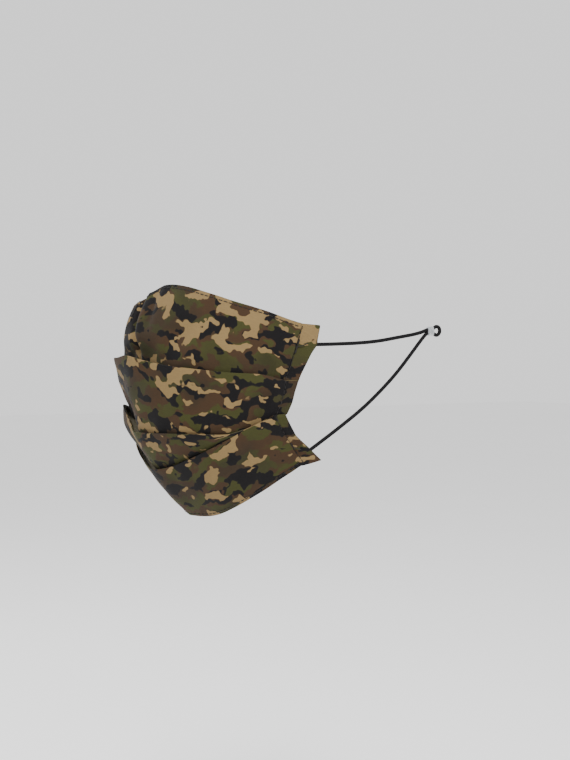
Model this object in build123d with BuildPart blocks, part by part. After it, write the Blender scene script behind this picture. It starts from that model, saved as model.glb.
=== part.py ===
from build123d import *
import math
import os

# Pleated cloth face mask in its worn shape, with a round elastic on each side and a cord stopper.
# Frame: the wearer looks along -Y, +X is the wearer's left, +Z is up.
# The origin is the middle of the face opening.

os.makedirs("parts", exist_ok=True)

# ---------------------------------------------------------------- driving sizes (mm)
OUTER_T = 0.5        # printed cotton
FILTER_T = 0.3       # middle layer
LINING_T = 0.4       # inner cotton
LAYER_GAP = 0.1
PLEAT_STEP = 2.4     # how far a pleat's hidden tail lies behind the panel in front
TAIL = 8.0           # depth of a pleat behind the fold
CORD_D = 2.0         # round elastic
WIRE_W, WIRE_T, WIRE_HALF_DEG = 4.0, 0.7, 58
HEM_T = 2.6
THREAD_T = 0.4
AXIS_Y = 5.0         # the sections stand on planes round this vertical axis
STATIONS = [-92, -84, -75, -66, -56, -45, -34, -24, -15, -7,
            0, 7, 15, 24, 34, 45, 56, 66, 75, 84, 92]

# Edge and fold lines on the left half, as x, y, z from the middle to the side hem
TOP = [(0, -54.6, 58.3), (11, -51.2, 62.1), (24, -47.3, 61.4), (39, -39.3, 57.0), (48, -30.4, 52.9),
       (57, -15.3, 47.6), (62, -3.2, 42.9), (64, 3.9, 40.8), (65.5, 13.3, 39.2)]
FOLD_A = [(0, -69.0, 23.5), (14, -65.4, 20.8), (28, -60.2, 18.3), (43, -51.0, 16.5), (55, -37.3, 14.7),
          (61, -20.4, 13.6), (63, -8.4, 10.8), (64, 0.0, 8.6), (65.3, 13.0, 7.0)]
FOLD_B = [(0, -62.9, -19.0), (13, -60.6, -18.9), (26, -57.3, -18.6), (41, -48.0, -18.4), (53, -34.2, -17.7),
          (60, -19.8, -9.5), (62.5, -12.5, -4.0), (63.5, -8.0, -2.5), (65.2, 13.0, 0.0)]
FOLD_C = [(0, -52.5, -39.9), (15, -49.5, -37.4), (30, -46.0, -32.1), (41, -41.8, -27.2), (52, -32.9, -19.7),
          (57.5, -26.4, -15.1), (63, -14.1, -9.1), (64, -8.4, -8.4), (65.2, 13.0, -7.0)]
BOTTOM = [(0, -29.2, -66.5), (14, -24.7, -66.0), (24, -22.0, -63.4), (36, -17.8, -57.5), (48, -9.3, -48.7),
          (58, 0.3, -39.2), (62.5, 6.8, -34.2), (65, 13.9, -32.2)]
# The worn mask sits a little lower at the top and higher at the chin on the right half
TOP_DROP = [(0, 0), (8, 5.5), (16, 8.5), (30, 9.5), (50, 7), (75, 3), (108, 0)]
FOLD_B_RISE = [(0, 0), (5, 0.5), (13, 6), (24, 10), (45, 9), (65, 4), (80, 0), (108, 0)]
BOTTOM_RISE = [(0, 0), (15, 2), (40, 4), (80, 2), (108, 0)]


def between(table, x):
    """Smooth value in a table of (position, value), held at its ends."""
    if x <= table[0][0]:
        return table[0][1]
    if x >= table[-1][0]:
        return table[-1][1]
    i = max(k for k in range(len(table) - 1) if table[k][0] <= x)
    (x0, y0), (x1, y1) = table[i], table[i + 1]

    def slope(k):
        if k <= 0 or k >= len(table) - 1:
            a, b = (0, 1) if k <= 0 else (len(table) - 2, len(table) - 1)
        else:
            a, b = k - 1, k + 1
        return (table[b][1] - table[a][1]) / (table[b][0] - table[a][0])

    h = x1 - x0
    t = (x - x0) / h
    return ((2 * t**3 - 3 * t**2 + 1) * y0 + (t**3 - 2 * t**2 + t) * h * slope(i)
            + (-2 * t**3 + 3 * t**2) * y1 + (t**3 - t**2) * h * slope(i + 1))


def line_at(points, deg, middle_flat=True):
    """(radius, height) of an edge or fold line at an angle from the front."""
    table_r, table_z = [], []
    for x, y, z in points:
        a = math.degrees(math.atan2(x, AXIS_Y - y))
        table_r.append((a, math.hypot(x, AXIS_Y - y)))
        table_z.append((a, z))
    if middle_flat:
        table_r = [(-table_r[1][0], table_r[1][1])] + table_r
        table_z = [(-table_z[1][0], table_z[1][1])] + table_z
    a = abs(deg)
    return between(table_r, a), between(table_z, a)


def levels(deg):
    top, a, b, c, bottom = (line_at(p, deg) for p in (TOP, FOLD_A, FOLD_B, FOLD_C, BOTTOM))
    if deg < 0:
        top = (top[0], top[1] - between(TOP_DROP, -deg))
        bottom = (bottom[0], bottom[1] + between(BOTTOM_RISE, -deg))
        b = (b[0] + 0.15 * between(FOLD_B_RISE, -deg), b[1] + between(FOLD_B_RISE, -deg))
    return top, a, b, c, bottom


def bulge(p, q, amount, n=3):
    """Points from p to q, pushed out in the middle."""
    out = []
    for i in range(n + 1):
        t = i / n
        out.append((p[0] + (q[0] - p[0]) * t + amount * 4 * t * (1 - t), p[1] + (q[1] - p[1]) * t))
    return out


def pleat_tail(fold_below, following, step, share=0.45):
    """A tail that runs down behind the next panel, set back from its face."""
    (r0, z0), (r1, z1) = fold_below, following
    n = math.hypot(r1 - r0, z1 - z0)
    reach = min(TAIL, share * n)
    ux, uz = (r1 - r0) / n, (z1 - z0) / n
    return (r0 + ux * reach - step, z0 + uz * reach)


def panel_line(name, deg):
    """Outer face of one panel as (radius, height) points, top to bottom."""
    top, a, b, c, bottom = levels(deg)
    side = min(1.0, max(0.0, (108 - abs(deg)) / 30))
    if name == "nose":
        return bulge(top, (a[0] - PLEAT_STEP, a[1] + 0.5), 2.2 * side) + [pleat_tail(a, b, PLEAT_STEP + 0.1)]
    if name == "cheek":
        return bulge(a, (b[0] - PLEAT_STEP, b[1] + 0.5), 1.6 * side) + [pleat_tail(b, c, PLEAT_STEP + 0.2, 0.3)]
    if name == "mouth":
        return bulge(b, (c[0] - PLEAT_STEP - 0.4, c[1] + 0.5), 1.0 * side, 2) + [pleat_tail(c, bottom, PLEAT_STEP + 1.2)]
    return bulge(c, bottom, 2.0 * side)


def offset_line(line, depth, square=False):
    """The same line, moved in towards the face by depth."""
    out = []
    for i, (r, z) in enumerate(line):
        if not square:
            out.append((r - depth, z))
            continue
        r0, z0 = line[max(i - 1, 0)]
        r1, z1 = line[min(i + 1, len(line) - 1)]
        n = math.hypot(r1 - r0, z1 - z0)
        out.append((r + (z1 - z0) / n * depth, z - (r1 - r0) / n * depth))
    return out


def section_plane(deg):
    a = math.radians(deg)
    out = (math.sin(a), -math.cos(a), 0)
    return Plane(origin=(0, AXIS_Y, 0), x_dir=out, z_dir=(out[1], -out[0], 0))


def layer(name, deg, d0, d1, first=0, cut_top=0.0):
    line = panel_line(name, deg)
    if cut_top:
        (r0, z0), (r1, z1) = line[0], line[1]
        t = cut_top / math.hypot(r1 - r0, z1 - z0)
        line = [(r0 + (r1 - r0) * t, z0 + (z1 - z0) * t)] + line[1:]
    square = name == "chin"
    return offset_line(line, d0, square) + list(reversed(offset_line(line, d1, square)))


# Inner edge of the side hems: a plane above the notch and one below it, as (y, z) points
HEM_UPPER = [(2.9, 40.2), (-12.6, -8.6)]
HEM_LOWER = [(-13.6, -9.4), (4.2, -33.5)]
FAR = 120


def behind(pts):
    (y0, z0), (y1, z1) = pts
    uy, uz = (y1 - y0), (z1 - z0)
    n = math.hypot(uy, uz)
    uy, uz = uy / n, uz / n
    a = (y0 - uy * 90, z0 - uz * 90)
    b = (y1 + uy * 90, z1 + uz * 90)
    return [a, b, (FAR, b[1] - 60), (FAR, a[1] + 60)]


made = []


def keep(builder, name):
    builder.part.label = name
    export_step(builder.part, f"parts/{name}.step")
    made.append((name, builder.part))


depths = {"outer": (0.0, OUTER_T),
          "filter": (OUTER_T + LAYER_GAP, OUTER_T + LAYER_GAP + FILTER_T),
          "lining": (OUTER_T + 2 * LAYER_GAP + FILTER_T, OUTER_T + 2 * LAYER_GAP + FILTER_T + LINING_T)}

# ---------------------------------------------------------------- panels, three layers each
for panel in ("nose", "cheek", "mouth", "chin"):
    for skin, (d0, d1) in depths.items():
        if panel == "nose" and skin == "lining":
            d0, d1 = d0 + 0.5, d1 + 0.5
        with BuildPart() as cloth:
            for deg in STATIONS:
                with BuildSketch(section_plane(deg)):
                    with BuildLine():
                        Polyline(*layer(panel, deg, d0, d1, cut_top=7.0 if (panel, skin) == ("nose", "filter") else 0.0), close=True)
                    make_face()
            loft(ruled=True)
            with BuildSketch(Plane.YZ):
                with BuildLine():
                    Polyline(*behind(HEM_LOWER if panel == "chin" else HEM_UPPER), close=True)
                make_face()
            extrude(amount=90, both=True, mode=Mode.SUBTRACT)
        keep(cloth, f"{panel}_panel_{skin}")

# ---------------------------------------------------------------- nose wire between outer cloth and lining
with BuildPart() as nose_wire:
    for deg in [d for d in STATIONS if abs(d) <= WIRE_HALF_DEG]:
        line = panel_line("nose", deg)
        (r0, z0), (r1, z1) = line[0], line[1]
        n = math.hypot(r1 - r0, z1 - z0)
        ur, uz = (r1 - r0) / n, (z1 - z0) / n
        nr, nz = uz, -ur
        s0, s1 = 2.4, 2.4 + WIRE_W
        k0, k1 = OUTER_T + 0.1, OUTER_T + 0.1 + WIRE_T
        with BuildSketch(section_plane(deg)):
            with BuildLine():
                Polyline(*[(r0 + ur * s + nr * k, z0 + uz * s + nz * k) for s, k in
                           ((s0, k0), (s1, k0), (s1, k1), (s0, k1))], close=True)
            make_face()
    loft(ruled=True)
keep(nose_wire, "nose_wire")

# ---------------------------------------------------------------- edge stitching, a row of thread near the top and bottom edge
for name, panel, at in (("top_edge_stitch", "nose", 1.6), ("bottom_edge_stitch", "chin", 1.6)):
    with BuildPart() as thread:
        for deg in STATIONS:
            line = panel_line(panel, deg)
            if panel == "chin":
                line = list(reversed(line))
            (r0, z0), (r1, z1) = line[0], line[1]
            n = math.hypot(r1 - r0, z1 - z0)
            ur, uz = (r1 - r0) / n, (z1 - z0) / n
            nr, nz = (-uz, ur) if panel == "nose" else (uz, -ur)
            with BuildSketch(section_plane(deg)):
                with BuildLine():
                    Polyline(*[(r0 + ur * s + nr * k, z0 + uz * s + nz * k) for s, k in
                               ((at, 0.06), (at + THREAD_T, 0.06), (at + THREAD_T, 0.06 + THREAD_T), (at, 0.06 + THREAD_T))], close=True)
                make_face()
        loft(ruled=True)
        with BuildSketch(Plane.YZ):
            with BuildLine():
                Polyline(*behind(HEM_LOWER if panel == "chin" else HEM_UPPER), close=True)
            make_face()
        extrude(amount=90, both=True, mode=Mode.SUBTRACT)
    keep(thread, name)

# ---------------------------------------------------------------- side hems: cloth turned in and stitched, cord ends inside
HEM_UP_OUT = [(13.3, 39.2), (11.2, 29.0), (8.2, 25.2), (1.9, 13.7), (-2.1, 4.9), (-4.1, -1.5), (-7.4, -7.2)]
HEM_LO_OUT = [(-8.4, -8.9), (-0.3, -20.1), (7.2, -26.5), (13.9, -32.0)]
HEM_TILT = 8.0       # degrees that the hem faces turn towards the front


def hem_plane(sign, x0):
    a = math.radians(HEM_TILT)
    return Plane(origin=(sign * x0, 0, 0), x_dir=(sign * math.sin(a), math.cos(a), 0),
                 z_dir=(math.cos(a), -sign * math.sin(a), 0) if sign > 0 else (math.cos(a), math.sin(a), 0))


def hem_points(points, sign):
    k = 1 / math.cos(math.radians(HEM_TILT))
    return [(y * k, z) for y, z in points]


CORD_UP = [(65.4, 11.9, 29.8), (67, 22.2, 30.0), (69, 38.1, 30.6), (70.5, 50.3, 31.7), (72.0, 62.5, 33.8),
           (72.8, 71.5, 35.2), (73.3, 78.0, 36.6), (73.6, 82.4, 38.3)]
CORD_LO = [(65.0, 8.2, -27.0), (66, 16.4, -21.6), (67.5, 27.5, -14.2), (69, 39.9, -5.6), (70.5, 51.1, 3.9),
           (71.5, 61.5, 13.6), (72.4, 70.0, 23.2), (73.1, 76.6, 30.9), (73.5, 80.6, 35.4), (73.6, 82.4, 36.4)]
BIGHT = [(73.8, 85.9, 38.6), (74.0, 87.9, 40.2), (74.1, 90.3, 39.4), (74.1, 90.7, 36.5), (74.0, 88.4, 34.7), (73.8, 85.9, 36.2)]

for side, sign in (("left", 1), ("right", -1)):
    plane_x = 63.0
    inner_up = [(-12.6 + 0.5, -8.6), (2.9 + 0.4, 40.2)]
    inner_lo = [(4.2 + 0.6, -33.5), (-13.6 + 0.7, -9.7)]
    for part_name, outline in (("upper", HEM_UP_OUT + inner_up), ("lower", HEM_LO_OUT + inner_lo)):
        shift = 0.0 if part_name == "upper" else 0.6
        with BuildPart() as hem:
            with BuildSketch(hem_plane(sign, plane_x + shift)):
                with BuildLine():
                    Polyline(*hem_points(outline, sign), close=True)
                make_face()
            extrude(amount=sign * HEM_T)
        keep(hem, f"{side}_hem_{part_name}")
        # bar tack over the sewn-in cord end
        y0, z0 = (4.6, 28.6) if part_name == "upper" else (-0.4, -23.0)
        with BuildPart() as tack:
            with BuildSketch(hem_plane(sign, plane_x + shift)):
                with Locations((y0, z0)):
                    Rectangle(1.2, 8.0, rotation=0 if part_name == "upper" else 38)
            extrude(amount=sign * (HEM_T + 0.6))
            with BuildSketch(hem_plane(sign, plane_x + shift)):
                Rectangle(200, 200)
            extrude(amount=sign * (HEM_T + 0.05), mode=Mode.SUBTRACT)
        keep(tack, f"{side}_bar_tack_{part_name}")


# ---------------------------------------------------------------- ear elastics and stoppers
def radii(points):
    out = []
    for i in range(1, len(points) - 1):
        p, q, r = (Vector(*points[k]) for k in (i - 1, i, i + 1))
        turn = math.radians((q - p).get_angle(r - q))
        out.append(0.45 * min((q - p).length, (r - q).length) / math.tan(turn / 2))
    return out


loop_points = CORD_UP + BIGHT + list(reversed(CORD_LO))
for side, sign in (("left", 1), ("right", -1)):
    points = [(sign * x, y, z) for x, y, z in loop_points]
    corner = radii(points)
    print(side, "elastic corner radii (mm):", [round(c, 1) for c in corner])
    with BuildPart() as elastic:
        with BuildLine() as route:
            FilletPolyline(*points, radius=corner)
        start = Vector(*points[0])
        with BuildSketch(Plane(origin=start, z_dir=Vector(*points[1]) - start)):
            Circle(CORD_D / 2)
        sweep(path=route.wires()[0])
    length = route.wires()[0].length
    print(side, "elastic length", round(length, 1), "volume", round(elastic.part.volume, 1),
          "expected", round(length * math.pi * CORD_D**2 / 4, 1))
    keep(elastic, f"{side}_ear_elastic")
    with BuildPart() as stopper:
        with BuildSketch(Plane(origin=(sign * 73.7, 83.9, 37.35), x_dir=(0, 0, 1), z_dir=(sign * 0.05, 1, 0.03))):
            RectangleRounded(5.2, 3.4, 1.5)
        extrude(amount=1.95, both=True)
        fillet(stopper.faces().sort_by(Axis.Y)[-1].edges() + stopper.faces().sort_by(Axis.Y)[0].edges(), 0.6)
        for points_in in (CORD_UP[-2:] + BIGHT[:2], CORD_LO[-2:] + BIGHT[::-1][:2]):
            pts = [(sign * x, y, z) for x, y, z in points_in]
            with BuildLine() as channel:
                FilletPolyline(*pts, radius=radii(pts))
            start = Vector(*pts[0])
            with BuildSketch(Plane(origin=start, z_dir=Vector(*pts[1]) - start)):
                Circle(CORD_D / 2 + 0.02)
            sweep(path=channel.wires()[0], mode=Mode.SUBTRACT)
    keep(stopper, f"{side}_cord_stopper")

print(len(made), "pieces")
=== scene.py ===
import math
import bpy
import numpy as np
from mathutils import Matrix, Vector


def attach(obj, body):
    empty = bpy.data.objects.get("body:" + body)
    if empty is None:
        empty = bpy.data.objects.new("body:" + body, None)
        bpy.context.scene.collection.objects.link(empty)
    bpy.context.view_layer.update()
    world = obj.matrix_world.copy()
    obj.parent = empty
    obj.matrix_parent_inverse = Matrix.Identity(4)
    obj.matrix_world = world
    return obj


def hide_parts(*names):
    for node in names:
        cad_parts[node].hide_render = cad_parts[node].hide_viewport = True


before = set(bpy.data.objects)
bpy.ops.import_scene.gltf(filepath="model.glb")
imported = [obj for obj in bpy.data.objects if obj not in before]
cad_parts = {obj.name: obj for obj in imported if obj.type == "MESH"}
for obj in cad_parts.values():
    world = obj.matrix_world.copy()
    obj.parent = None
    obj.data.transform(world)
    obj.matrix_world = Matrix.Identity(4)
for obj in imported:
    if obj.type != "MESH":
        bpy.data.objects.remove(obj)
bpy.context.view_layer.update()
MM = 0.001

# ------------------------------------------------------------------ camera
AZ, EL, DIST, REF, MM_PER_PX = math.radians(58.0), math.radians(2.0), 0.800, 0.035, 0.55
view_dir = Vector((math.sin(AZ) * math.cos(EL), -math.cos(AZ) * math.cos(EL), math.sin(EL)))
cam_data = bpy.data.cameras.new("camera")
cam = bpy.data.objects.new("camera", cam_data)
bpy.context.scene.collection.objects.link(cam)
cam.location = view_dir * DIST
cam.rotation_euler = (-view_dir).to_track_quat("-Z", "Y").to_euler()
cam_data.sensor_fit = "VERTICAL"
cam_data.sensor_height = 36.0
cam_data.lens = 36.0 * (DIST - REF) * 1000 / (760 * MM_PER_PX)
cam_data.shift_x = (285 - 233.7) / 760
cam_data.shift_y = (396.5 - 380) / 760
cam_data.clip_start = 0.01
bpy.context.scene.camera = cam

# ------------------------------------------------------------------ the elastics' routes (mm), corner points
CORD_UP = [(65.4, 11.9, 29.8), (67, 22.2, 30.0), (69, 38.1, 30.6), (70.5, 50.3, 31.7), (72.0, 62.5, 33.8),
           (72.8, 71.5, 35.2), (73.3, 78.0, 36.6), (73.6, 82.4, 38.3)]
CORD_LO = [(65.0, 8.2, -27.0), (66, 16.4, -21.6), (67.5, 27.5, -14.2), (69, 39.9, -5.6), (70.5, 51.1, 3.9),
           (71.5, 61.5, 13.6), (72.4, 70.0, 23.2), (73.1, 76.6, 30.9), (73.5, 80.6, 35.4), (73.6, 82.4, 36.4)]
BIGHT = [(73.8, 85.9, 38.6), (74.0, 87.9, 40.2), (74.1, 90.3, 39.4), (74.1, 90.7, 36.5), (74.0, 88.4, 34.7), (73.8, 85.9, 36.2)]
CORD_D = 2.0


# ------------------------------------------------------------------ materials
def new_mat(name):
    m = bpy.data.materials.new(name)
    m.use_nodes = True
    nt = m.node_tree
    for n in list(nt.nodes):
        nt.nodes.remove(n)
    out = nt.nodes.new("ShaderNodeOutputMaterial")
    b = nt.nodes.new("ShaderNodeBsdfPrincipled")
    nt.links.new(b.outputs[0], out.inputs[0])
    return m, nt, b


def srgb(r, g, b):
    f = lambda c: (c / 255 / 12.92) if c / 255 <= 0.04045 else ((c / 255 + 0.055) / 1.055) ** 2.4
    return (f(r), f(g), f(b), 1)


def node(nt, kind, **kw):
    n = nt.nodes.new(kind)
    for k, v in kw.items():
        setattr(n, k, v)
    return n


def maths(nt, op, a, b=None, clamp=False):
    n = node(nt, "ShaderNodeMath", operation=op, use_clamp=clamp)
    for i, v in enumerate((a, b)):
        if v is None:
            continue
        if isinstance(v, (int, float)):
            n.inputs[i].default_value = v
        else:
            nt.links.new(v, n.inputs[i])
    return n.outputs[0]


def noise(nt, vec, scale, detail, rough, dist, offset=(0, 0, 0), stretch=(1, 1, 1)):
    mp = node(nt, "ShaderNodeMapping")
    mp.inputs["Location"].default_value = offset
    mp.inputs["Scale"].default_value = stretch
    nt.links.new(vec, mp.inputs["Vector"])
    n = node(nt, "ShaderNodeTexNoise")
    n.inputs["Scale"].default_value = scale
    n.inputs["Detail"].default_value = detail
    n.inputs["Roughness"].default_value = rough
    n.inputs["Distortion"].default_value = dist
    nt.links.new(mp.outputs[0], n.inputs["Vector"])
    return n.outputs["Fac"]


def step(nt, fac, at, soft):
    mr = node(nt, "ShaderNodeMapRange", interpolation_type="SMOOTHSTEP")
    mr.inputs["From Min"].default_value = at - soft
    mr.inputs["From Max"].default_value = at + soft
    nt.links.new(fac, mr.inputs["Value"])
    return mr.outputs["Result"]


def mix(nt, fac, a, b):
    m = node(nt, "ShaderNodeMix", data_type="RGBA")
    nt.links.new(fac, m.inputs[0])
    for i, v in ((6, a), (7, b)):
        if isinstance(v, tuple):
            m.inputs[i].default_value = v
        else:
            nt.links.new(v, m.inputs[i])
    return m.outputs[2]


def weave_height(nt, uv, pitch):
    """A plain weave: threads over and under, from UVs in millimetres."""
    sx = node(nt, "ShaderNodeSeparateXYZ")
    nt.links.new(uv, sx.inputs[0])
    k = 2 * math.pi / pitch
    a = maths(nt, "SINE", maths(nt, "MULTIPLY", sx.outputs[0], k))
    b = maths(nt, "SINE", maths(nt, "MULTIPLY", sx.outputs[1], k))
    return maths(nt, "MULTIPLY", a, b)


def cloth_material(name, camo):
    m, nt, b = new_mat(name)
    uv = node(nt, "ShaderNodeUVMap", uv_map="UVMap").outputs[0]
    wv = weave_height(nt, uv, 0.75)
    if camo:
        # the print's lobed edges: a slow and a quick wobble of the coordinates
        p = uv
        for scale, amount, shift in ((0.10, 8.0, 0.0), (0.34, 3.4, 30.0)):
            mp = node(nt, "ShaderNodeMapping")
            mp.inputs["Location"].default_value = (shift, shift * 0.6, 1.0 + shift)
            nt.links.new(uv, mp.inputs["Vector"])
            wob = node(nt, "ShaderNodeTexNoise")
            wob.inputs["Scale"].default_value = scale
            wob.inputs["Detail"].default_value = 0.4
            nt.links.new(mp.outputs[0], wob.inputs["Vector"])
            sub = node(nt, "ShaderNodeVectorMath", operation="SUBTRACT")
            nt.links.new(wob.outputs["Color"], sub.inputs[0])
            sub.inputs[1].default_value = (0.5, 0.5, 0.5)
            sc = node(nt, "ShaderNodeVectorMath", operation="SCALE")
            nt.links.new(sub.outputs[0], sc.inputs[0])
            sc.inputs["Scale"].default_value = amount
            add = node(nt, "ShaderNodeVectorMath", operation="ADD")
            nt.links.new(p, add.inputs[0])
            nt.links.new(sc.outputs[0], add.inputs[1])
            p = add.outputs[0]
        st = (0.56, 1.0, 1.0)
        green = srgb(47, 47, 20)
        brown = srgb(50, 35, 21)
        black = srgb(10, 8, 9)
        tan = srgb(107, 88, 57)
        f_brown = step(nt, noise(nt, p, 0.125, 0.9, 0.5, 0.0, (3.1, 7.7, 0), st), 0.49, 0.030)
        col = mix(nt, f_brown, green, brown)
        f_dark = step(nt, noise(nt, p, 0.06, 0.6, 0.5, 0.0, (40, 11, 3), st), 0.54, 0.12)
        col = mix(nt, maths(nt, "MULTIPLY", f_dark, 0.55), col, srgb(34, 29, 20))
        f_black = step(nt, noise(nt, p, 0.150, 0.7, 0.45, 0.0, (13.7, 2.9, 5.0), st), 0.558, 0.010)
        col = mix(nt, f_black, col, black)
        f_tan = step(nt, noise(nt, p, 0.150, 0.6, 0.45, 0.0, (57.2, 31.4, 9.0), st), 0.610, 0.009)
        col = mix(nt, f_tan, col, tan)
        sheen_col = None
    else:
        tone = noise(nt, uv, 0.06, 3, 0.55, 0.0)
        col = mix(nt, tone, srgb(56, 52, 36), srgb(68, 63, 45))
    # thread-scale tone: painted highlight on the thread crowns and painted shade in the gaps between threads, plus
    # tone from slubs in the yarn
    slub = noise(nt, uv, 2.2, 2, 0.5, 0.0, (0, 0, 2), (0.25, 1.6, 1))
    weave_shade_and_slub_tone = maths(nt, "ADD", maths(nt, "MULTIPLY", wv, 0.05), maths(nt, "MULTIPLY", slub, 0.28))
    weave_shade_and_slub_tone = maths(nt, "ADD", weave_shade_and_slub_tone, 0.86)
    vm = node(nt, "ShaderNodeVectorMath", operation="SCALE")
    nt.links.new(col, vm.inputs[0])
    nt.links.new(weave_shade_and_slub_tone, vm.inputs["Scale"])
    nt.links.new(vm.outputs[0], b.inputs["Base Color"])
    rough = maths(nt, "ADD", maths(nt, "MULTIPLY", slub, 0.12), 0.80)
    nt.links.new(rough, b.inputs["Roughness"])
    b.inputs["Specular IOR Level"].default_value = 0.15
    b.inputs["Sheen Weight"].default_value = 0.03
    b.inputs["Sheen Roughness"].default_value = 0.5
    bump = node(nt, "ShaderNodeBump")
    bump.inputs["Strength"].default_value = 0.25
    bump.inputs["Distance"].default_value = 0.00012
    nt.links.new(wv, bump.inputs["Height"])
    nt.links.new(bump.outputs[0], b.inputs["Normal"])
    return m


def simple_material(name, c1, c2, rough, scale, metallic=0.0, bump_d=0.00005, stretch=(1, 1, 1), spec=0.3, coat=0.0, trans=0.0):
    m, nt, b = new_mat(name)
    tc = node(nt, "ShaderNodeTexCoord")
    f = noise(nt, tc.outputs["Object"], scale, 3, 0.55, 0.0, (0, 0, 0), stretch)
    nt.links.new(mix(nt, f, c1, c2), b.inputs["Base Color"])
    nt.links.new(maths(nt, "ADD", maths(nt, "MULTIPLY", f, 0.15), rough - 0.07), b.inputs["Roughness"])
    b.inputs["Metallic"].default_value = metallic
    b.inputs["Specular IOR Level"].default_value = spec
    b.inputs["Transmission Weight"].default_value = trans
    bump = node(nt, "ShaderNodeBump")
    bump.inputs["Strength"].default_value = 0.4
    bump.inputs["Distance"].default_value = bump_d
    nt.links.new(f, bump.inputs["Height"])
    nt.links.new(bump.outputs[0], b.inputs["Normal"])
    return m


def elastic_material():
    m, nt, b = new_mat("black_elastic")
    uv = node(nt, "ShaderNodeUVMap", uv_map="UVMap").outputs[0]
    sx = node(nt, "ShaderNodeSeparateXYZ")
    nt.links.new(uv, sx.inputs[0])
    # braid: two crossing spirals; the colour is lighter on the braid's crests and darker in its grooves, a painted
    # highlight and painted shade
    a = maths(nt, "SINE", maths(nt, "ADD", maths(nt, "MULTIPLY", sx.outputs[0], 9.0), maths(nt, "MULTIPLY", sx.outputs[1], 8.0)))
    c = maths(nt, "SINE", maths(nt, "SUBTRACT", maths(nt, "MULTIPLY", sx.outputs[0], 9.0), maths(nt, "MULTIPLY", sx.outputs[1], 8.0)))
    h = maths(nt, "MAXIMUM", a, c)
    t = maths(nt, "ADD", maths(nt, "MULTIPLY", h, 0.25), 0.5, True)
    nt.links.new(mix(nt, t, srgb(3, 3, 4), srgb(13, 12, 14)), b.inputs["Base Color"])
    nt.links.new(maths(nt, "SUBTRACT", 0.78, maths(nt, "MULTIPLY", t, 0.15)), b.inputs["Roughness"])
    b.inputs["Specular IOR Level"].default_value = 0.12
    bump = node(nt, "ShaderNodeBump")
    bump.inputs["Strength"].default_value = 0.5
    bump.inputs["Distance"].default_value = 0.0001
    nt.links.new(h, bump.inputs["Height"])
    nt.links.new(bump.outputs[0], b.inputs["Normal"])
    return m


M_CAMO = cloth_material("camo_cotton", True)
M_LINING = cloth_material("lining_cotton", False)
M_THREAD = simple_material("thread", srgb(12, 10, 10), srgb(26, 22, 20), 0.7, 4000)
M_FILTER = simple_material("filter_cloth", srgb(205, 205, 198), srgb(228, 228, 222), 0.9, 900)
M_WIRE = simple_material("nose_wire", srgb(150, 150, 154), srgb(190, 190, 194), 0.35, 500, 1.0)
M_ELASTIC = elastic_material()
M_SILICONE = simple_material("clear_silicone", srgb(118, 121, 124), srgb(146, 149, 152), 0.3, 700, 0.0, 0.00002, (1, 1, 1), 0.5, 0.0, 0.15)

# ------------------------------------------------------------------ shape of the worn cloth, as in the CAD part (mm)
PLEAT_STEP, TAIL, AXIS_Y = 2.4, 8.0, 5.0
HEM_UPPER = [(2.9, 40.2), (-12.6, -8.6)]
HEM_LOWER = [(-13.6, -9.4), (4.2, -33.5)]
TOP = [(0, -54.6, 58.3), (11, -51.2, 62.1), (24, -47.3, 61.4), (39, -39.3, 57.0), (48, -30.4, 52.9),
       (57, -15.3, 47.6), (62, -3.2, 42.9), (64, 3.9, 40.8), (65.5, 13.3, 39.2)]
FOLD_A = [(0, -69.0, 23.5), (14, -65.4, 20.8), (28, -60.2, 18.3), (43, -51.0, 16.5), (55, -37.3, 14.7),
          (61, -20.4, 13.6), (63, -8.4, 10.8), (64, 0.0, 8.6), (65.3, 13.0, 7.0)]
FOLD_B = [(0, -62.9, -19.0), (13, -60.6, -18.9), (26, -57.3, -18.6), (41, -48.0, -18.4), (53, -34.2, -17.7),
          (60, -19.8, -9.5), (62.5, -12.5, -4.0), (63.5, -8.0, -2.5), (65.2, 13.0, 0.0)]
FOLD_C = [(0, -52.5, -39.9), (15, -49.5, -37.4), (30, -46.0, -32.1), (41, -41.8, -27.2), (52, -32.9, -19.7),
          (57.5, -26.4, -15.1), (63, -14.1, -9.1), (64, -8.4, -8.4), (65.2, 13.0, -7.0)]
BOTTOM = [(0, -29.2, -66.5), (14, -24.7, -66.0), (24, -22.0, -63.4), (36, -17.8, -57.5), (48, -9.3, -48.7),
          (58, 0.3, -39.2), (62.5, 6.8, -34.2), (65, 13.9, -32.2)]
TOP_DROP = [(0, 0), (8, 5.5), (16, 8.5), (30, 9.5), (50, 7), (75, 3), (108, 0)]
FOLD_B_RISE = [(0, 0), (5, 0.5), (13, 7), (24, 13), (42, 12), (60, 4), (80, 0), (108, 0)]
BOTTOM_RISE = [(0, 0), (15, 2), (40, 4), (80, 2), (108, 0)]


def between(table, x):
    """Smooth values in a table of (position, value), held at its ends; x is an array."""
    xs = np.array([t[0] for t in table], float)
    ys = np.array([t[1] for t in table], float)
    m = np.empty(len(xs))
    m[1:-1] = (ys[2:] - ys[:-2]) / (xs[2:] - xs[:-2])
    m[0] = (ys[1] - ys[0]) / (xs[1] - xs[0])
    m[-1] = (ys[-1] - ys[-2]) / (xs[-1] - xs[-2])
    x = np.clip(np.asarray(x, float), xs[0], xs[-1])
    i = np.clip(np.searchsorted(xs, x, side="right") - 1, 0, len(xs) - 2)
    h = xs[i + 1] - xs[i]
    t = (x - xs[i]) / h
    return ((2 * t**3 - 3 * t**2 + 1) * ys[i] + (t**3 - 2 * t**2 + t) * h * m[i]
            + (-2 * t**3 + 3 * t**2) * ys[i + 1] + (t**3 - t**2) * h * m[i + 1])


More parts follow.
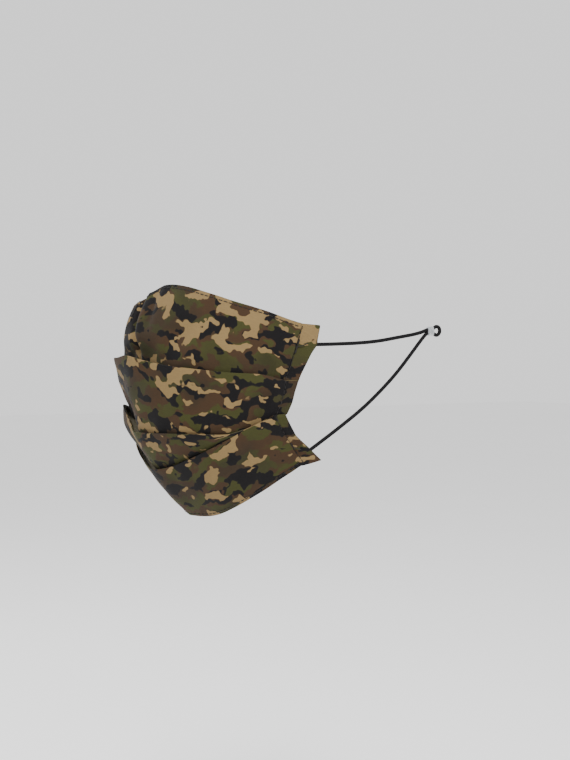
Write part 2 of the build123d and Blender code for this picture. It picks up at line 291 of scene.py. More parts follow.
def tables(points):
    r = [(math.degrees(math.atan2(x, AXIS_Y - y)), math.hypot(x, AXIS_Y - y)) for x, y, z in points]
    z = [(math.degrees(math.atan2(x, AXIS_Y - y)), z) for x, y, z in points]
    return [(-r[1][0], r[1][1])] + r, [(-z[1][0], z[1][1])] + z


T = [tables(p) for p in (TOP, FOLD_A, FOLD_B, FOLD_C, BOTTOM)]


def level(k, deg):
    a = np.abs(deg)
    r, z = between(T[k][0], a), between(T[k][1], a)
    far = np.asarray(deg, float) < 0
    if k == 0:
        z = z - np.where(far, between(TOP_DROP, a), 0)
    if k == 2:
        rise = np.where(far, between(FOLD_B_RISE, a), 0)
        r, z = r + 0.04 * rise, z + rise
    if k == 4:
        z = z + np.where(far, between(BOTTOM_RISE, a), 0)
    return r, z


def smooth01(t):
    t = np.clip(t, 0, 1)
    return t * t * (3 - 2 * t)


def hump(x, centre, width):
    return np.exp(-((x - centre) / width) ** 2)


PANELS = {"nose": (0, 1, 2), "cheek": (1, 2, 3), "mouth": (2, 3, 4), "chin": (3, 4, 4)}
BULGE = {"nose": 2.2, "cheek": 1.6, "mouth": 1.0, "chin": 2.0}
TAIL_SHARE = {"nose": 0.45, "cheek": 0.3, "mouth": 0.45}
TAIL_EXTRA = {"nose": 0.1, "cheek": 0.2, "mouth": 1.2}
END_STEP = {"nose": 2.4, "cheek": 2.4, "mouth": 2.8, "chin": 0.0}


def wrinkles(panel, deg, w):
    """Outward shift of the cloth (mm) from soft folds, by angle and by height on the panel."""
    d = np.zeros(np.broadcast(deg, w).shape)
    if panel == "nose":
        fade = smooth01(1.1 - w)
        # upright folds beside the nose, where the wire pinches the cloth
        d += -6.5 * hump(deg, -6.5 + 4.5 * w, 2.4) * smooth01(1.35 - w)
        d += 4.4 * hump(deg, -15, 6.5) * fade
        d += 1.0 * hump(deg, 1.5, 2.6) * fade
        d += -0.9 * hump(deg, 7.5, 2.0) * fade * hump(w, 0.3, 0.35)
        d += 0.6 * hump(deg, 11.5, 2.6) * fade * hump(w, 0.35, 0.3)
        # hollows under the cheekbone and puffs above the first pleat
        d += -2.4 * hump(deg + 18 * (w - 0.6), 27, 5.5) * hump(w, 0.6, 0.22)
        d += 1.3 * hump(deg, 38, 6) * hump(w, 0.82, 0.14)
        d += -1.2 * hump(deg, 47, 4) * hump(w, 0.86, 0.16)
        d += 1.0 * hump(deg, 56, 6) * hump(w, 0.8, 0.16)
        d += -1.6 * hump(deg - 10 * (w - 0.7), 69, 5) * hump(w, 0.85, 0.2)
        d += -0.7 * hump(deg - 16 * w, 44, 6) * hump(w, 0.35, 0.22)
        # pocket over the first pleat, open in front
        d += -5.5 * smooth01((w - 0.62) / 0.38) * hump(deg, 2, 20)
        d += -3.0 * smooth01((w - 0.7) / 0.3) * hump(deg, -16, 10)
    elif panel == "cheek":
        d += -1.6 * hump(deg + 10 * (w - 0.5), 37, 7) * hump(w, 0.6, 0.3)
        d += 1.0 * hump(deg + 14 * (w - 0.3), 54, 7) * hump(w, 0.5, 0.3)
        d += -3.2 * hump(deg - 4 * (w - 0.5), 71, 5.5) * smooth01((w - 0.15) / 0.4)
        d += 0.7 * hump(deg, 12, 6) * hump(w, 0.35, 0.3)
        d += -0.9 * hump(deg, 21, 5) * hump(w, 0.7, 0.3)
        d += -3.2 * hump(deg, -16, 10) * smooth01((w - 0.35) / 0.4)
        d += -0.7 * hump(deg, -48, 9) * hump(w, 0.5, 0.3)
    elif panel == "mouth":
        d += 0.6 * hump(deg, 20, 8) * hump(w, 0.4, 0.3) - 0.7 * hump(deg, 38, 7) * hump(w, 0.5, 0.4)
        d += 3.0 * hump(deg, -26, 12) * hump(w, 0.45, 0.3)
    else:
        d += 1.0 * hump(deg + 20 * (w - 0.5), 40, 9) * hump(w, 0.45, 0.3)
        d += -1.4 * hump(deg + 26 * (w - 0.5), 58, 7) * hump(w, 0.5, 0.35)
        d += 0.9 * hump(deg, 74, 5) * hump(w, 0.4, 0.3)
        d += -0.9 * hump(deg, 14, 8) * hump(w, 0.6, 0.3)
        d += 0.5 * hump(deg, -35, 9) * hump(w, 0.5, 0.3)
    # slow irregularity
    d += 0.22 * np.sin(deg * 0.31 + w * 5.0 + len(panel)) * np.sin(w * 7.0 + deg * 0.12)
    return d


def surface(panel, deg, w):
    """Point (mm) on the outer face. w 0 is the panel's top, 1 its lower edge, 1 to 2 its hidden tail."""
    deg, w = np.broadcast_arrays(np.asarray(deg, float), np.asarray(w, float))
    i, j, k = PANELS[panel]
    (r0, z0), (r1, z1), (r2, z2) = level(i, deg), level(j, deg), level(k, deg)
    side = np.clip((108 - np.abs(deg)) / 30, 0, 1)
    t = np.clip(w, 0, 1)
    u = np.clip(w - 1, 0, 1)
    re, ze = (r1 - END_STEP[panel], z1 + 0.5) if panel != "chin" else (r1, z1)
    rt, zt = re, ze
    if panel != "chin":
        n = np.hypot(r2 - r1, z2 - z1)
        reach = np.minimum(TAIL, TAIL_SHARE[panel] * n)
        rt = r1 + (r2 - r1) / n * reach - PLEAT_STEP - TAIL_EXTRA[panel]
        zt = z1 + (z2 - z1) / n * reach
    if panel in ("cheek", "mouth"):
        # towards the side the lower pleat goes in behind the chin flap's edge
        tuck = smooth01((np.abs(deg) - 50) / 12)
        (rc, zc), (rb, zb) = level(3, deg), level(4, deg)
        m = np.hypot(rb - rc, zb - zc)
        dr, dz = (rb - rc) / m, (zb - zc) / m
        places = ((1.2, 3.2), (5.5, 3.5)) if panel == "cheek" else ((-0.5, 1.55), (3.8, 1.8), (6.5, 1.9))
        if panel == "cheek":
            places = ((1.2, 3.2 - 0.9 * smooth01((np.abs(deg) - 64) / 8)), places[1])
        go = lambda a, b, p: (a + (rc + dr * p[0] - p[1] - a) * tuck, b + (zc + dz * p[0] - b) * tuck)
        if panel == "mouth":
            r0, z0 = go(r0, z0, places[0])
        flat = re
        re, ze = go(re, ze, places[-2])
        rt, zt = go(rt, zt, places[-1])
        r0 = r0 + (flat - re) * (t - t**4) * (panel == "cheek")
    r = r0 + (re - r0) * t + BULGE[panel] * side * 4 * t * (1 - t) + (rt - re) * u
    z = z0 + (ze - z0) * t + (zt - ze) * u
    hold = smooth01(t / 0.10 + (0.45 if panel == "nose" else 0.0)) * np.where(w > 1, np.clip(2 - 0.5 * w, 0, 1), 1)
    (ya, za), (yb, zb) = HEM_LOWER if panel == "chin" else HEM_UPPER
    seam = np.degrees(np.arctan2(64.0, AXIS_Y - (ya + (yb - ya) * np.clip((z - za) / (zb - za), -0.1, 1.1))))
    ends = smooth01((seam - 1.0 - np.abs(deg)) / 8)
    r = r + wrinkles(panel, deg, t) * hold * ends
    if panel == "cheek":
        # the first pleat's edge stands off like a lip beside the nose
        r = r + (3.5 * hump(deg, -13, 9) + 1.2 * hump(deg, 4, 8)) * smooth01(1 - t / 0.4)
        z = z + 2.4 * hump(deg, -18, 9) * smooth01(1 - t / 0.5)
    a = np.radians(deg)
    return np.stack([r * np.sin(a), AXIS_Y - r * np.cos(a), z], -1)


def seam_y(panel, z):
    (y0, z0), (y1, z1) = HEM_LOWER if panel == "chin" else HEM_UPPER
    return y0 + (y1 - y0) * (z - z0) / (z1 - z0)


def seam_angle(panel, w, sign, past=0.0):
    """Angle at which the panel meets the side-hem seam, for rows w."""
    lo, hi = np.full(w.shape, 45.0), np.full(w.shape, 97.0)
    for _ in range(30):
        mid = (lo + hi) / 2
        p = surface(panel, sign * mid, w)
        over = p[..., 1] > seam_y(panel, p[..., 2]) + past
        hi = np.where(over, mid, hi)
        lo = np.where(over, lo, mid)
    return (lo + hi) / 2


def unit(v):
    return v / np.maximum(np.linalg.norm(v, axis=-1, keepdims=True), 1e-9)


def grid_normals(P):
    du = np.gradient(P, axis=1)
    dv = np.gradient(P, axis=0)
    return unit(np.cross(dv, du))


V_BASE = {"nose": 0.0, "cheek": 61.0, "mouth": 123.0, "chin": 171.0}


def arc_uv(P, base, along0=None):
    """Flat-cloth coordinates in mm of a grid: u along each row from the middle, v down from the top."""
    nv, nu = P.shape[:2]
    seg = np.linalg.norm(np.diff(P, axis=1), axis=-1)
    u = np.concatenate([np.zeros((nv, 1)), np.cumsum(seg, axis=1)], axis=1)
    mid = nu // 2
    u = u - u[:, mid:mid + 1]
    u = u.mean(0)[None, :] * 0.75 + u * 0.25
    sv = np.linalg.norm(np.diff(P, axis=0), axis=-1)
    v = np.concatenate([np.zeros((1, nu)), np.cumsum(sv, axis=0)], axis=0)
    v = v.mean(1)[:, None] * 0.6 + v * 0.4
    return u, -(v + base)


def add_mesh(name, verts, faces, uvs, mat, body, smooth=True):
    me = bpy.data.meshes.new(name)
    me.from_pydata([tuple(float(c) * MM for c in v) for v in verts], [], [tuple(f) for f in faces])
    me.validate()
    if uvs is not None:
        layer = me.uv_layers.new(name="UVMap")
        idx = np.empty(len(me.loops), np.int32)
        me.loops.foreach_get("vertex_index", idx)
        layer.data.foreach_set("uv", np.asarray(uvs, np.float32)[idx].ravel())
    me.polygons.foreach_set("use_smooth", [smooth] * len(me.polygons))
    ob = bpy.data.objects.new(name, me)
    bpy.context.scene.collection.objects.link(ob)
    me.materials.append(mat)
    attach(ob, body)
    return ob


def shell(P, U, V, d0, d1, round_rows=3):
    """Closed cloth from a grid of outer points: outer face, rounded rims, inner face."""
    N = grid_normals(P)
    centre = P - N * ((d0 + d1) / 2)
    h = (d1 - d0) / 2
    dv0 = unit(P[0] - P[1])
    dv1 = unit(P[-1] - P[-2])
    nv, nu = P.shape[:2]
    rows, us, vs = [], [], []
    for i in range(nv):
        rows.append(centre[i] + N[i] * h); us.append(U[i]); vs.append(V[i])
    for k in range(1, round_rows + 1):
        a = math.pi * k / (round_rows + 1)
        rows.append(centre[-1] + N[-1] * h * math.cos(a) + dv1 * h * math.sin(a)); us.append(U[-1]); vs.append(V[-1] - 0.3 * k)
    for i in range(nv - 1, -1, -1):
        rows.append(centre[i] - N[i] * h); us.append(U[i]); vs.append(V[i] - 2 * (V[i] - V[-1]) - 1.2)
    for k in range(1, round_rows + 1):
        a = math.pi * k / (round_rows + 1)
        rows.append(centre[0] - N[0] * h * math.cos(a) + dv0 * h * math.sin(a)); us.append(U[0]); vs.append(V[0] + 1.2 - 0.3 * k)
    R = np.array(rows)
    n = len(R)
    idx = np.arange(n * nu).reshape(n, nu)
    faces = []
    for i in range(n):
        a, b = idx[i], idx[(i + 1) % n]
        for j in range(nu - 1):
            faces.append((a[j], b[j], b[j + 1], a[j + 1]))
    # end caps between outer and inner rows
    ring = list(range(n))
    inner = lambda i: nv + round_rows + (nv - 1 - i)
    for j, flip in ((0, True), (nu - 1, False)):
        for i in range(nv - 1):
            q = (idx[i][j], idx[inner(i)][j], idx[inner(i + 1)][j], idx[i + 1][j])
            faces.append(q if flip else q[::-1])
        low = [idx[nv - 1][j]] + [idx[nv - 1 + k][j] for k in range(1, round_rows + 1)] + [idx[inner(nv - 1)][j]]
        top = [idx[inner(0)][j]] + [idx[inner(0) + k][j] for k in range(1, round_rows + 1)] + [idx[0][j]]
        faces.append(tuple(low[::-1]) if flip else tuple(low))
        faces.append(tuple(top[::-1]) if flip else tuple(top))
    uv = np.stack([np.array(us).ravel(), np.array(vs).ravel()], -1)
    return R.reshape(-1, 3), faces, uv


NU = 221
depth = {"outer": (0.0, 0.62), "filter": (0.66, 0.90), "lining": (0.94, 1.36)}
panel_grids = {}
for panel in PANELS:
    tail = panel != "chin"
    w = np.concatenate([np.linspace(0, 1, 34)[:-1], np.linspace(1, 2, 8)]) if tail else np.linspace(0, 1, 36)
    s = np.linspace(-1, 1, NU)
    aL, aR = seam_angle(panel, w, 1), seam_angle(panel, w, -1)
    deg = np.where(s[None, :] >= 0, s[None, :] * aL[:, None], s[None, :] * aR[:, None])
    P = surface(panel, deg, w[:, None] + 0 * deg)
    # stitch rows pull the cloth in a little
    N = grid_normals(P)
    U, V = arc_uv(P, V_BASE[panel])
    dist_top = np.concatenate([np.zeros((1, P.shape[1])), np.cumsum(np.linalg.norm(np.diff(P, axis=0), axis=-1), axis=0)], 0)
    if panel == "nose":
        P = P - N * (0.22 * hump(dist_top, 1.8, 0.7) * (0.75 + 0.25 * np.sin(U * 2.2)))[..., None]
    if panel == "chin":
        from_end = dist_top[-1][None, :] - dist_top
        P = P - N * (0.22 * hump(from_end, 1.8, 0.7) * (0.75 + 0.25 * np.sin(U * 2.2)))[..., None]
    panel_grids[panel] = (P, U, V, deg, w)
    body = "chin_flap" if panel == "chin" else "mask"
    for skin, (d0, d1) in depth.items():
        if panel == "nose" and skin == "lining":
            d0, d1 = d0 + 0.55, d1 + 0.55
        rows = slice(None)
        Q, QU, QV = P, U, V
        if skin != "outer":
            # the inner layers stop short of the edges, where the outer cloth is turned over them
            first, last, cut = (7.5 if panel == "nose" else 3.4, 3.4, int(NU * (0.17 if panel == "mouth" else 0.03))) if skin == "filter" else (0.9, 1.1, 0)
            keep = (dist_top.mean(1) > first) & (dist_top.mean(1) < dist_top.mean(1)[-1] - last)
            cols = slice(cut, P.shape[1] - cut)
            Q, QU, QV = P[keep][:, cols], U[keep][:, cols], V[keep][:, cols]
        verts, faces, uv = shell(Q, QU, QV, d0, d1)
        mat, slot = {"outer": (M_CAMO, "camo_cotton"), "filter": (M_FILTER, "filter_cloth"), "lining": (M_LINING, "lining_cotton")}[skin]
        ob = add_mesh(f"{panel}_{skin}", verts, faces, uv, mat, body)
        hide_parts(f"{panel}_panel_{skin}")


# ------------------------------------------------------------------ side hems
HEM_UP_OUT = [(13.3, 39.2), (11.2, 29.0), (8.2, 25.2), (1.9, 13.7), (-2.1, 4.9), (-4.1, -1.5), (-7.4, -7.6)]
HEM_LO_OUT = [(-8.2, -8.4), (-0.3, -20.1), (7.2, -26.5), (13.3, -32.2)]


def along(points, n):
    p = np.array(points, float)
    d = np.concatenate([[0], np.cumsum(np.linalg.norm(np.diff(p, axis=0), axis=1))])
    t = np.linspace(0, d[-1], n)
    return np.stack([np.interp(t, d, p[:, 0]), np.interp(t, d, p[:, 1])], -1)


def hem_x(y, z, sign, lower):
    """How far out the cloth lies at the side, from the same edge and fold lines as the panels."""
    x = np.full(y.shape, 64.0)
    for _ in range(6):
        deg = np.degrees(np.arctan2(x, AXIS_Y - y))
        ks = (3, 4) if lower else (0, 1, 2, 3)
        rs = np.array([level(k, sign * deg)[0] for k in ks])
        zs = np.array([level(k, sign * deg)[1] for k in ks])
        r = np.empty(y.shape)
        for q in np.ndindex(*y.shape):
            r[q] = np.interp(-z[q], -zs[(slice(None),) + q], rs[(slice(None),) + q])
        x = r * np.sin(np.radians(deg))
    return x


hem_grids = {}
for side, sign in (("left", 1), ("right", -1)):
    for part, outline, seam, panel_names in (("upper", HEM_UP_OUT, HEM_UPPER, ("nose", "cheek", "mouth")),
                                             ("lower", HEM_LO_OUT, HEM_LOWER, ("chin",))):
        n, m = 56, 14
        outer = along(outline, n)
        if part == "upper":
            for _ in range(3):
                outer[1:-1] = (outer[:-2] + 2 * outer[1:-1] + outer[2:]) / 4
        inner = np.stack([np.linspace(seam[0][0], seam[1][0], n), np.linspace(seam[0][1], seam[1][1], n)], -1)
        if part == "lower":
            inner = inner + np.linspace(0, 1, n)[:, None] ** 4 * np.array([1.0, -1.35])
        else:
            # the folded-in end of the upper hem runs on behind the lower one and closes the notch
            q = np.linspace(0, 1, 8)[1:, None]
            inner = np.concatenate([inner, inner[-1] + q * (np.array([-12.2, -13.0]) - inner[-1])])
            bend = np.where(q < 0.35, outer[-1] + q / 0.35 * (np.array([-9.0, -9.3]) - outer[-1]),
                            np.array([-9.0, -9.3]) + (q - 0.35) / 0.65 * np.array([1.8, -3.2]))
            outer = np.concatenate([outer, bend])
            n = len(inner)
        c = np.linspace(-0.13, 1, m)
        # the turned-in edge laps further over the panels at the notch between the two hems
        lap = 1 + 1.3 * np.clip(np.linspace(0, n / 56, n), 0, 1)[:, None] ** 6 * (part == "upper")
        cc = np.where(c[None, :] < 0, c[None, :] * lap, c[None, :])
        yz = inner[:, None, :] * (1 - cc[..., None]) + outer[:, None, :] * cc[..., None]
        y, z = yz[..., 0], yz[..., 1]
        x = hem_x(y, z, sign, part == "lower")
        for _ in range(2):
            x[1:-1] = (x[:-2] + 2 * x[1:-1] + x[2:]) / 4
        plain = x.copy()
        # the seam edge follows the side ends of the panels it is sewn over
        end_z, end_x = [], []
        for pn in panel_names:
            G, _, _, _, gw = panel_grids[pn]
            col = -1 if sign > 0 else 0
            rows_in = gw <= (1.9 if pn == "cheek" else 1.0001)
            if pn != "mouth":
                end_z.append(G[rows_in, col, 2]); end_x.append(np.abs(G[rows_in, col, 0]))
        end_z, end_x = np.concatenate(end_z), np.concatenate(end_x)
        order = np.argsort(end_z)
        j0 = int(np.argmin(np.abs(c)))
        real = np.interp(z[:, j0], end_z[order], end_x[order])
        drop = np.clip(real - x[:, j0], -1.6, 0)
        for _ in range(6):
            drop[1:-1] = (drop[:-2] + 2 * drop[1:-1] + drop[2:]) / 4
        x = x + drop[:, None] * (1 - smooth01(c[None, :] * 0.9))
        # folds of the pleats run on through the hem as soft steps; the turned edge stands a little out
        x = x + 0.10 + 1.1 * smooth01(c[None, :]) + 0 * x
        if part == "upper":
            x = x + 0.35 * np.tanh((8.5 - z) / 0.8) * (1 - 0.6 * c[None, :])
            x = x + 0.35 * hump(z, 29.8, 1.6) * smooth01((c[None, :] - 0.15) * 3)
        else:
            x = x + 0.8
            x = x + 0.3 * hump(z + 0.9 * (y - 8.0), -26.5, 1.8) * smooth01((c[None, :] - 0.3) * 3)
        x = x - 0.25 * hump(c[None, :] * 9.5, 0.9, 0.5) - (0.55 + 0.7 * (lap - 1)) * smooth01(-c[None, :] / 0.13)
        if part == "upper":
            behind = smooth01((-7.2 - z) / 1.8)
            x = x * (1 - behind) + (plain - 1.9) * behind
        P = np.stack([sign * x, y, z], -1)
        # flat-cloth coordinates run on from the panels
        U = np.zeros((n, m)); V = np.zeros((n, m))
        for i in range(n):
            zi = z[i, 0]
            best = None
            for pn in panel_names:
                G, GU, GV, gd, gw = panel_grids[pn]
                col = -1 if sign > 0 else 0
                front = gw <= 1.0001
                zc = G[front, col, 2]
                if best is None or zc.max() >= zi - 0.2:
                    best = (GU[front, col], GV[front, col], zc)
            order = np.argsort(best[2])
            u0 = np.interp(zi, best[2][order], best[0][order])
            v0 = np.interp(zi, best[2][order], best[1][order])
            d = np.linalg.norm(P[i] - P[i, 0], axis=1)
            U[i] = u0 + sign * d
            V[i] = v0
        if sign < 0:
            P, U, V = P[:, ::-1], U[:, ::-1], V[:, ::-1]
        verts, faces, uv = shell(P, U, V, 0.0, 2.2, 4)
        body = "mask" if part == "upper" else "chin_flap"
        ob = add_mesh(f"{side}_hem_{part}_cloth", verts, faces, uv, M_CAMO, body)
        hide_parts(f"{side}_hem_{part}")
        hem_grids[(side, part)] = P


# ------------------------------------------------------------------ thread
def thread_mesh(name, runs, dia, body, replaces=()):
    """runs: list of (points, normals). Each run is one stitch: a short thread whose ends go into the cloth."""
    verts, faces = [], []
    k = 6
    for pts, nor in runs:
        n = len(pts)
        base = len(verts)
        tan = unit(np.gradient(pts, axis=0))
        side = unit(np.cross(tan, nor))
        up = unit(np.cross(side, tan))
        for i in range(n):
            r = dia / 2 * (0.55 if i in (0, n - 1) else 1.0)
            for q in range(k):
                a = 2 * math.pi * q / k
                verts.append(pts[i] + side[i] * r * math.cos(a) + up[i] * r * math.sin(a))
        for i in range(n - 1):
            for q in range(k):
                a, b = base + i * k + q, base + i * k + (q + 1) % k
                faces.append((a, b, b + k, a + k))
        faces.append(tuple(base + q for q in range(k))[::-1])
        faces.append(tuple(base + (n - 1) * k + q for q in range(k)))
    ob = add_mesh(name, verts, faces, None, M_THREAD, body)
    if replaces:
        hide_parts(*replaces)
    return ob


def stitches(line, normals, length=2.3, gap=0.55, lift=0.12, seed=1):
    """Cuts a line over the cloth into single stitches."""
    rng = np.random.default_rng(seed)
    d = np.concatenate([[0], np.cumsum(np.linalg.norm(np.diff(line, axis=0), axis=1))])
    runs, s = [], 0.3
    while s + length < d[-1]:
        L = length * (1 + 0.08 * rng.standard_normal())
        t = np.linspace(s, min(s + L, d[-1]), 6)
        p = np.stack([np.interp(t, d, line[:, i]) for i in range(3)], -1)
        n = unit(np.stack([np.interp(t, d, normals[:, i]) for i in range(3)], -1))
        arch = np.array([-0.22, 0.6, 1.0, 1.0, 0.6, -0.22])[:, None] * lift
        side = np.cross(n, unit(np.gradient(p, axis=0)))
        runs.append((p + n * arch + side * 0.05 * rng.standard_normal(), n))
        s += L + gap
    return runs


def row_at(panel, distance, from_end=False):
    P, U, V, deg, w = panel_grids[panel]
    front = w <= 1.0001
    G = P[front]
    N = grid_normals(G)
    if from_end:
        G, N = G[::-1], N[::-1]
    d = np.concatenate([np.zeros((1, G.shape[1])), np.cumsum(np.linalg.norm(np.diff(G, axis=0), axis=-1), axis=0)], 0)
    line = np.array([[np.interp(distance, d[:, j], G[:, j, i]) for i in range(3)] for j in range(G.shape[1])])
    nor = unit(np.array([[np.interp(distance, d[:, j], N[:, j, i]) for i in range(3)] for j in range(G.shape[1])]))
    return line, nor


line, nor = row_at("nose", 1.8)
top_runs = stitches(line, nor, seed=3)
# short upright row beside the nose that closes the wire's pocket
P, U, V, deg, w = panel_grids["nose"]
N = grid_normals(P)
j = int(np.argmin(np.abs(deg[0] + 11.0)))
rows = [i for i in range(len(w)) if 0.04 < w[i] < 0.46]
top_runs += stitches(P[rows, j] + N[rows, j] * 0.05, N[rows, j], length=2.6, gap=0.4, lift=0.25, seed=5)
thread_mesh("top_stitching", top_runs, 0.52, "mask", ("top_edge_stitch",))
line, nor = row_at("chin", 1.8, True)
thread_mesh("bottom_stitching", stitches(line, nor, seed=4), 0.52, "chin_flap", ("bottom_edge_stitch",))
for side, sign in (("left", 1), ("right", -1)):
    for part in ("upper", "lower"):
        P = hem_grids[(side, part)]
        N = grid_normals(P)
        j = 2 if sign > 0 else P.shape[1] - 3
        pin = P[:, j] * 0.5 + P[:, j + sign] * 0.5
        sewn_rows = min(len(pin), 56)
        runs = stitches(pin[:sewn_rows], N[:sewn_rows, j], seed=6)
        body = "mask" if part == "upper" else "chin_flap"
        thread_mesh(f"{side}_hem_{part}_stitching", runs, 0.46, body)
        # bar tack: a dense bunch of stitches over the sewn-in end of the elastic
        rng = np.random.default_rng(11)
        z_at = 28.6 if part == "upper" else -25.5
        i0 = int(np.argmin(np.abs(pin[:, 2] - z_at)))
        tack = []
        for q in range(5):
            span = range(max(i0 - 5 + q % 2, 0), min(i0 + 5 + q % 3, len(pin)))
            seg = pin[span] + N[span, j] * (0.25 + 0.12 * (q % 3))
            across = unit(np.cross(N[i0, j], pin[min(i0 + 1, len(pin) - 1)] - pin[i0]))
            seg = seg + across * (q - 2) * 0.26 + across * 0.2 * rng.standard_normal()
            tack += stitches(seg, N[span, j], length=2.6, gap=0.1, lift=0.2, seed=20 + q)
        # loose thread tail
        start = pin[i0]
        t = np.linspace(0, 1, 12)[:, None]
        out = (P[i0, -1 if sign > 0 else 0] - start)
        tail = start + N[i0, j] * (0.5 + 0.5 * np.sin(t * 3.1)) + out * t * 0.62 + np.array([0, 0, 1.0]) * (2.8 * t**1.6 * (1 if part == "upper" else -0.6))
        tack.append((tail, np.repeat(N[i0, j][None], 12, 0)))
        thread_mesh(f"{side}_bar_tack_{part}_thread", tack, 0.42, body, (f"{side}_bar_tack_{part}",))

# ------------------------------------------------------------------ nose wire
P, U, V, deg, w = panel_grids["nose"]
N = grid_normals(P)
d = np.concatenate([np.zeros((1, P.shape[1])), np.cumsum(np.linalg.norm(np.diff(P, axis=0), axis=-1), axis=0)], 0)
cols = [q for q in range(P.shape[1]) if abs(deg[0, q]) <= 58]
strip = np.array([[[np.interp(s, d[:, q], P[:, q, i]) for i in range(3)] for q in cols] for s in (3.1, 3.9, 4.7, 5.5, 6.3)])
u, v = arc_uv(strip, 0)
verts, faces, uv = shell(strip, u, v, 0.74, 1.38, 2)
wire = add_mesh("nose_wire_strip", verts, faces, uv, M_WIRE, "mask")
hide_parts("nose_wire")


# ------------------------------------------------------------------ elastics and stoppers
def cord_line(points):
    """Points along the smooth curve whose control points are the route's corners."""
    cu = bpy.data.curves.new("route", "CURVE")
    cu.dimensions = "3D"
    sp = cu.splines.new("NURBS")
    sp.points.add(len(points) - 1)
    for q, p in zip(sp.points, points):
        q.co = (p[0] * MM, p[1] * MM, p[2] * MM, 1)
    sp.order_u = 3
    sp.use_endpoint_u = True
    sp.resolution_u = 12
    ob = bpy.data.objects.new("route", cu)
    bpy.context.scene.collection.objects.link(ob)
    bpy.context.view_layer.update()
    me = bpy.data.meshes.new_from_object(ob)
    co = np.array([v.co for v in me.vertices], float) / MM
    bpy.data.objects.remove(ob)
    bpy.data.meshes.remove(me)
    return co


def tube(points, dia, k=14):
    tan = unit(np.gradient(points, axis=0))
    nrm = np.cross(tan[0], [1, 0, 0.1]); nrm /= np.linalg.norm(nrm)
    verts, uvs, faces = [], [], []
    d = np.concatenate([[0], np.cumsum(np.linalg.norm(np.diff(points, axis=0), axis=1))])
    for i, p in enumerate(points):
        nrm = nrm - tan[i] * nrm.dot(tan[i]); nrm /= np.linalg.norm(nrm)
        bi = np.cross(tan[i], nrm)
        for q in range(k + 1):
            a = 2 * math.pi * q / k
            verts.append(p + (nrm * math.cos(a) + bi * math.sin(a)) * dia / 2)
            uvs.append((d[i], q / k * 2 * math.pi))
    # one vertex ring per point, closed by sharing the last column
    n = len(points)
    ring = lambda i, q: i * (k + 1) + q
    for i in range(n - 1):
        for q in range(k):
            faces.append((ring(i, q), ring(i, q + 1), ring(i + 1, q + 1), ring(i + 1, q)))
    return np.array(verts), faces, uvs, k


def closed_tube_mesh(name, points, dia, mat, body, k=14):
    verts, faces, uvs, k = tube(points, dia, k)
    n = len(points)
    # weld the seam: geometry ring of k, UV kept by angle
    keep = [i * (k + 1) + q for i in range(n) for q in range(k)]
    remap = {old: new for new, old in enumerate(keep)}
    for i in range(n):
        remap[i * (k + 1) + k] = remap[i * (k + 1)]
    f2 = [tuple(remap[v] for v in f) for f in faces]
    f2.append(tuple(range(k))[::-1])
    f2.append(tuple(range((n - 1) * k, n * k)))
    me = bpy.data.meshes.new(name)
    me.from_pydata([tuple(float(c) * MM for c in verts[v]) for v in keep], [], f2)
    layer = me.uv_layers.new(name="UVMap")
    li = 0
    flat = []
    for f in faces:
        flat += [uvs[v] for v in f]
    flat += [uvs[v] for v in [q for q in range(k)][::-1]]
    flat += [uvs[(n - 1) * (k + 1) + q] for q in range(k)]
    layer.data.foreach_set("uv", np.array(flat, np.float32).ravel())
    me.polygons.foreach_set("use_smooth", [True] * len(me.polygons))
    ob = bpy.data.objects.new(name, me)
    bpy.context.scene.collection.objects.link(ob)
    me.materials.append(mat)
    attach(ob, body)
    return ob


def bead(name, centre, axis, size, body):
    """A soft stopper: rounded block along the cords, with a raised lip round each end."""
    ax = unit(np.array(axis, float))
    zt = unit(np.array([0, 0, 1.0]) - ax * ax[2])
    xt = np.cross(ax, zt)
    sx, sy, sz = size
    verts, faces = [], []
    k = 28
    prof = [(-0.5, 0.0), (-0.5, 0.55), (-0.495, 0.80), (-0.455, 0.93), (-0.38, 1.0), (-0.25, 0.985), (0.0, 0.955), (0.25, 0.985),
            (0.38, 1.0), (0.455, 0.93), (0.495, 0.80), (0.5, 0.55), (0.5, 0.0)]
    for t, r in prof:
        for q in range(k):
            a = 2 * math.pi * q / k
            ca, sa = math.cos(a), math.sin(a)
            e = 2 / 2.8
            xx = math.copysign(abs(ca) ** e, ca) * sx / 2 * max(r, 0.02)
            zz = math.copysign(abs(sa) ** e, sa) * sz / 2 * max(r, 0.02)
            verts.append(np.array(centre) + ax * t * sy + xt * xx + zt * zz)
    n = len(prof)
    for i in range(n - 1):
        for q in range(k):
            faces.append((i * k + q, i * k + (q + 1) % k, (i + 1) * k + (q + 1) % k, (i + 1) * k + q))
    faces.append(tuple(range(k))[::-1])
    faces.append(tuple(range((n - 1) * k, n * k)))
    me_faces = [tuple(reversed(f)) for f in faces] if np.dot(np.cross(xt, zt), ax) > 0 else faces
    return add_mesh(name, verts, me_faces, None, M_SILICONE, body)


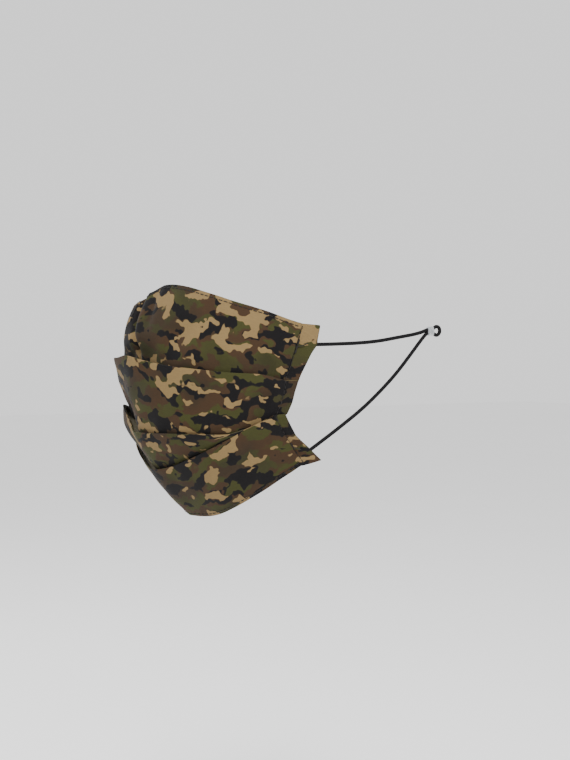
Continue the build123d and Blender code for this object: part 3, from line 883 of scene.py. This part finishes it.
for side, sign in (("left", 1), ("right", -1)):
    route = [(64.3, 6.6, 29.7)] + CORD_UP + BIGHT + list(reversed(CORD_LO[1:])) + [(64.8, 8.2, -27.0), (64.65, 7.6, -27.35)]
    route = [(sign * x, y, z) for x, y, z in route]
    line = cord_line(route)
    elastic = closed_tube_mesh(f"{side}_elastic_cord", line, CORD_D, M_ELASTIC, f"{side}_loop")
    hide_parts(f"{side}_ear_elastic")
    stopper = bead(f"{side}_stopper_bead", (sign * 73.7, 83.9, 37.35), (sign * 0.05, 1, 0.03), (3.4, 3.9, 5.2), f"{side}_stopper")
    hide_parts(f"{side}_cord_stopper")
    length = float(np.linalg.norm(np.diff(line, axis=0), axis=1).sum()) * MM
    print("elastic line length", round(length, 4))

# ------------------------------------------------------------------ studio
floor_me = bpy.data.meshes.new("floor")
floor_me.from_pydata([(-6, -6, -0.32), (6, -6, -0.32), (6, 6, -0.32), (-6, 6, -0.32)], [], [(0, 1, 2, 3)])
floor = bpy.data.objects.new("floor", floor_me)
bpy.context.scene.collection.objects.link(floor)
m, nt, b = new_mat("floor")
tc = node(nt, "ShaderNodeTexCoord")
f = noise(nt, tc.outputs["Object"], 3.0, 2, 0.5, 0.0)
nt.links.new(mix(nt, f, (0.93, 0.93, 0.93, 1), (0.96, 0.96, 0.96, 1)), b.inputs["Base Color"])
b.inputs["Roughness"].default_value = 0.9
floor_me.materials.append(m)

world = bpy.data.worlds.new("world")
bpy.context.scene.world = world
world.use_nodes = True
world.node_tree.nodes["Background"].inputs[0].default_value = (1, 1, 1, 1)
world.node_tree.nodes["Background"].inputs[1].default_value = 1.2


def area(name, where, size, power):
    li = bpy.data.lights.new(name, "AREA")
    li.shape = "SQUARE"
    li.size = size
    li.energy = power
    ob = bpy.data.objects.new(name, li)
    bpy.context.scene.collection.objects.link(ob)
    ob.location = where
    ob.rotation_euler = (-Vector(where)).to_track_quat("-Z", "Y").to_euler()
    return ob


area("key", (0.95, -0.8, 1.25), 0.5, 36)
area("fill", (1.3, 0.5, 0.5), 0.9, 8)
area("rim", (-1.0, -0.4, 0.9), 0.8, 9)
